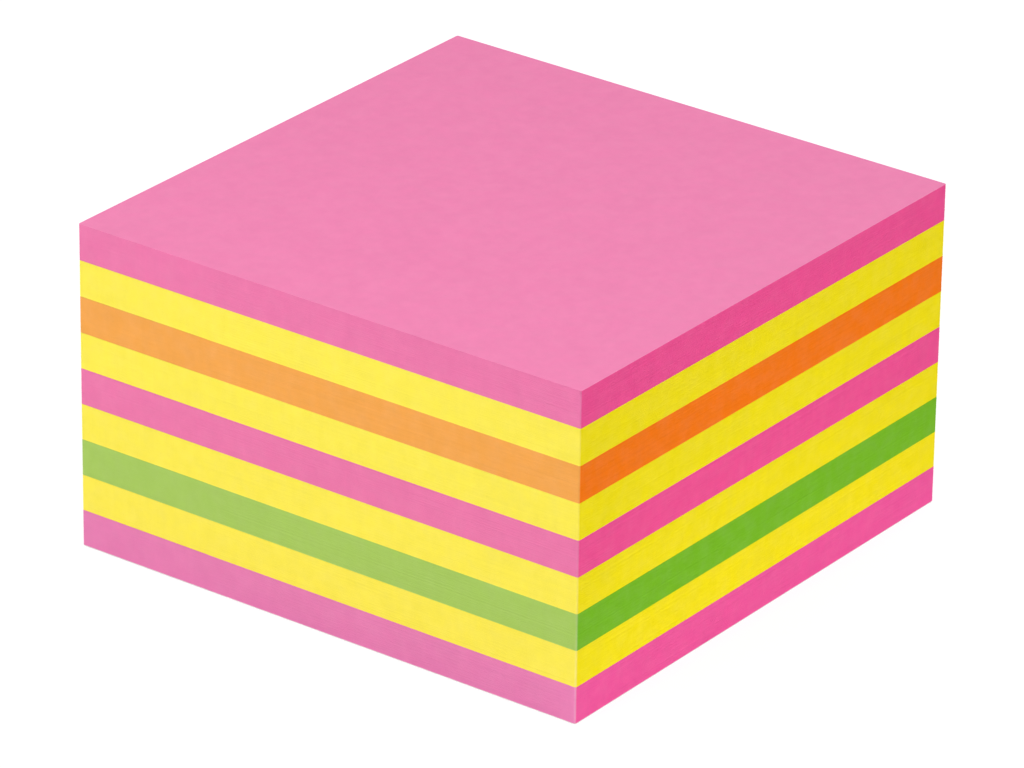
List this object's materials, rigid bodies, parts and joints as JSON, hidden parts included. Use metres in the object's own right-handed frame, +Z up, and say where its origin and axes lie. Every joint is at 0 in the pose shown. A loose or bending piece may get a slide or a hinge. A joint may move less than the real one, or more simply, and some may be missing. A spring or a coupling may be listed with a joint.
{
  "type": "sticky note pad",
  "caption": "Square cube-shaped pad of sticky notes in pink, yellow, orange and green blocks on a thin backing sheet, for peeling notes off its top.",
  "frame": {"origin": "centre of the base, on the underside of the backing sheet", "axes": "+Z up through the pile, +Y towards the edge that the notes are stuck along, -Y towards the free edge that a finger lifts, X across the notes"},
  "size_m": [0.076, 0.076, 0.0438],
  "materials": {
    "pink_paper": "matte",
    "yellow_paper": "matte",
    "orange_paper": "matte",
    "green_paper": "matte",
    "backing_paper": "satin",
    "adhesive": "satin"
  },
  "bodies": {
    "root": {"backing_sheet": "backing_paper", "notes_1_pink": "pink_paper", "notes_2_yellow": "yellow_paper", "notes_3_green": "green_paper", "notes_4_yellow": "yellow_paper", "notes_5_pink": "pink_paper", "notes_6_yellow": "yellow_paper", "notes_7_orange": "orange_paper", "notes_8_yellow": "yellow_paper", "notes_9_pink": "pink_paper", "adhesive_1": "adhesive", "adhesive_2": "adhesive", "adhesive_3": "adhesive", "adhesive_4": "adhesive", "adhesive_5": "adhesive", "adhesive_6": "adhesive", "adhesive_7": "adhesive", "adhesive_8": "adhesive", "adhesive_9": "adhesive"}
  },
  "joints": []
}
